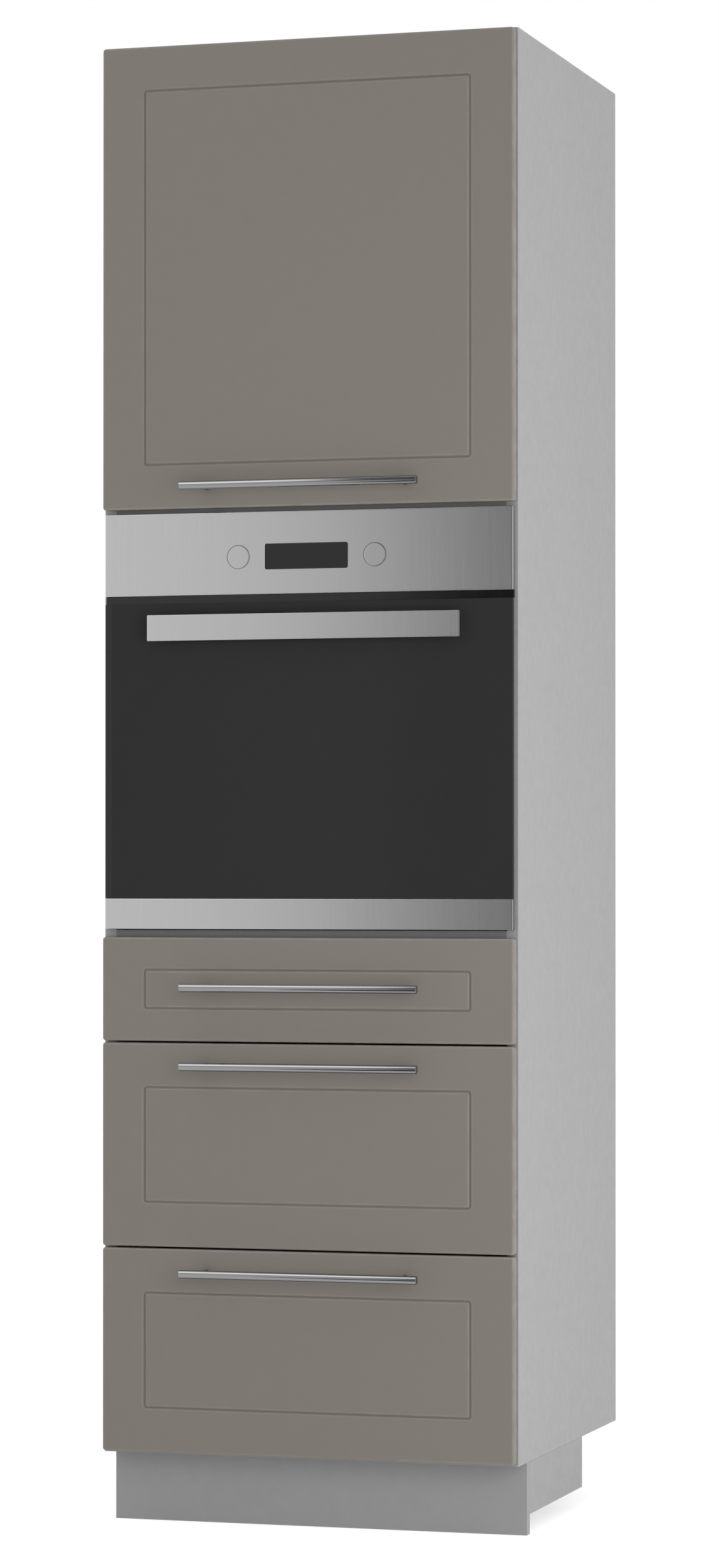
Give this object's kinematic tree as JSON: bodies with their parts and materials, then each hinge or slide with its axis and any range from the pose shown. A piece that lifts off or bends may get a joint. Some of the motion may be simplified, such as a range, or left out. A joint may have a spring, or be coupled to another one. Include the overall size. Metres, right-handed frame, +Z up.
{
  "type": "tall oven housing unit",
  "caption": "Tall kitchen cabinet with a lift-up flap cupboard on top, a built-in oven with a drop-down door, and pull-out drawers below on a recessed plinth.",
  "frame": {"origin": "on the floor, under the middle of the whole width and depth, handles included", "axes": "+Z up, the front with its handles faces -Y, +X to the right of someone who faces the front"},
  "size_m": [0.6, 0.62, 2.07],
  "materials": {
    "carcass_board": "smooth grey melamine on chipboard",
    "back_board": "thin lacquered fibreboard",
    "front_paint": "matt grey-brown foil on fibreboard",
    "plinth_board": "smooth mid-grey melamine",
    "leg_plastic": "moulded black",
    "bar_steel": "polished",
    "oven_steel": "brushed upright",
    "zinc_steel": "zinc plated",
    "dark_glass": "tinted, gloss",
    "oven_enamel": "dark enamel",
    "door_frame": "black coated",
    "drawer_steel": "light grey powder coat",
    "drawer_board": "light melamine",
    "shelf_wire": "plated wire"
  },
  "bodies": {
    "carcass": {"side_panel_left": "carcass_board", "side_panel_right": "carcass_board", "top_panel": "carcass_board", "bottom_panel": "carcass_board", "oven_shelf_upper": "carcass_board", "oven_shelf_lower": "carcass_board", "cupboard_shelf": "carcass_board", "back_panel_upper": "back_board", "back_panel_lower": "back_board", "plinth_front": "plinth_board", "plinth_return_left": "plinth_board", "plinth_return_right": "plinth_board", "leg_front_left": "leg_plastic", "leg_front_right": "leg_plastic", "leg_rear_left": "leg_plastic", "leg_rear_right": "leg_plastic", "hinge_arm_left": "zinc_steel", "hinge_arm_right": "zinc_steel", "lift_box": "zinc_steel", "drawer_1_rail_left": "zinc_steel", "drawer_1_rail_right": "zinc_steel", "drawer_2_rail_left": "zinc_steel", "drawer_2_rail_right": "zinc_steel", "drawer_3_rail_left": "zinc_steel", "drawer_3_rail_right": "zinc_steel", "oven_body": "oven_enamel", "oven_grill_element": "oven_enamel", "oven_control_panel": "oven_steel", "oven_display": "dark_glass", "oven_wire_shelf": "shelf_wire"},
    "flap": {"flap_front": "front_paint", "flap_handle": "bar_steel", "hinge_cup_left": "zinc_steel", "hinge_cup_right": "zinc_steel", "lift_bracket": "zinc_steel"},
    "hinge_link_left_body": {"hinge_link_left": "zinc_steel"},
    "hinge_link_right_body": {"hinge_link_right": "zinc_steel"},
    "lift_lever_body": {"lift_lever": "zinc_steel"},
    "lift_link_body": {"lift_link": "zinc_steel"},
    "oven_door": {"oven_door_frame": "door_frame", "oven_door_glass": "dark_glass", "oven_door_trim": "oven_steel", "oven_door_inner_glass": "dark_glass", "oven_door_handle": "oven_steel"},
    "knob_left": {"oven_knob_left": "oven_steel"},
    "knob_right": {"oven_knob_right": "oven_steel"},
    "spindle_left": {"oven_spindle_left": "zinc_steel"},
    "spindle_right": {"oven_spindle_right": "zinc_steel"},
    "drawer_1": {"drawer_1_front": "front_paint", "drawer_1_handle": "bar_steel", "drawer_1_box": "drawer_steel", "drawer_1_bottom": "drawer_board"},
    "drawer_2": {"drawer_2_front": "front_paint", "drawer_2_handle": "bar_steel", "drawer_2_box": "drawer_steel", "drawer_2_bottom": "drawer_board"},
    "drawer_3": {"drawer_3_front": "front_paint", "drawer_3_handle": "bar_steel", "drawer_3_box": "drawer_steel", "drawer_3_bottom": "drawer_board"}
  },
  "joints": [
    {"name": "flap_lift", "type": "hinge", "parent": "carcass", "child": "flap", "pos_m": [0, -0.267, 2.068], "axis": [-1, 0, 0], "range_deg": [0, 90]},
    {"name": "hinge_link_left_turn", "type": "hinge", "parent": "flap", "child": "hinge_link_left_body", "pos_m": [-0.21, -0.256, 2.046], "axis": [-1, 0, 0], "range_deg": [-90, 0]},
    {"name": "hinge_link_right_turn", "type": "hinge", "parent": "flap", "child": "hinge_link_right_body", "pos_m": [0.21, -0.256, 2.046], "axis": [-1, 0, 0], "range_deg": [-90, 0]},
    {"name": "lift_lever_turn", "type": "hinge", "parent": "carcass", "child": "lift_lever_body", "pos_m": [-0.262, -0.147, 2.008], "axis": [-1, 0, 0], "range_deg": [0, 90]},
    {"name": "lift_link_turn", "type": "hinge", "parent": "lift_lever_body", "child": "lift_link_body", "pos_m": [-0.257, -0.121, 1.888], "axis": [-1, 0, 0], "range_deg": [-90, 0]},
    {"name": "oven_door_drop", "type": "hinge", "parent": "carcass", "child": "oven_door", "pos_m": [0, -0.2565, 0.8374], "axis": [1, 0, 0], "range_deg": [0, 90], "stiffness_Nm_per_rad": 2, "springref_deg": -17.19},
    {"name": "spindle_left_turn", "type": "hinge", "parent": "carcass", "child": "spindle_left", "pos_m": [-0.099, -0.25, 1.351], "axis": [0, -1, 0], "range_deg": [0, 324]},
    {"name": "knob_left_pop", "type": "slide", "parent": "spindle_left", "child": "knob_left", "axis": [0, -1, 0], "range_m": [0, 0.018]},
    {"name": "spindle_right_turn", "type": "hinge", "parent": "carcass", "child": "spindle_right", "pos_m": [0.099, -0.25, 1.351], "axis": [0, -1, 0], "range_deg": [0, 270]},
    {"name": "knob_right_pop", "type": "slide", "parent": "spindle_right", "child": "knob_right", "axis": [0, -1, 0], "range_m": [0, 0.018]},
    {"name": "drawer_1_slide", "type": "slide", "parent": "carcass", "child": "drawer_1", "axis": [0, -1, 0], "range_m": [0, 0.37]},
    {"name": "drawer_2_slide", "type": "slide", "parent": "carcass", "child": "drawer_2", "axis": [0, -1, 0], "range_m": [0, 0.37]},
    {"name": "drawer_3_slide", "type": "slide", "parent": "carcass", "child": "drawer_3", "axis": [0, -1, 0], "range_m": [0, 0.37]}
  ],
  "couplings": [
    {"joint": "hinge_link_left_turn", "follows": "flap_lift", "ratio": -1},
    {"joint": "hinge_link_right_turn", "follows": "flap_lift", "ratio": -1},
    {"joint": "lift_lever_turn", "follows": "flap_lift", "ratio": 1},
    {"joint": "lift_link_turn", "follows": "flap_lift", "ratio": -1}
  ]
}
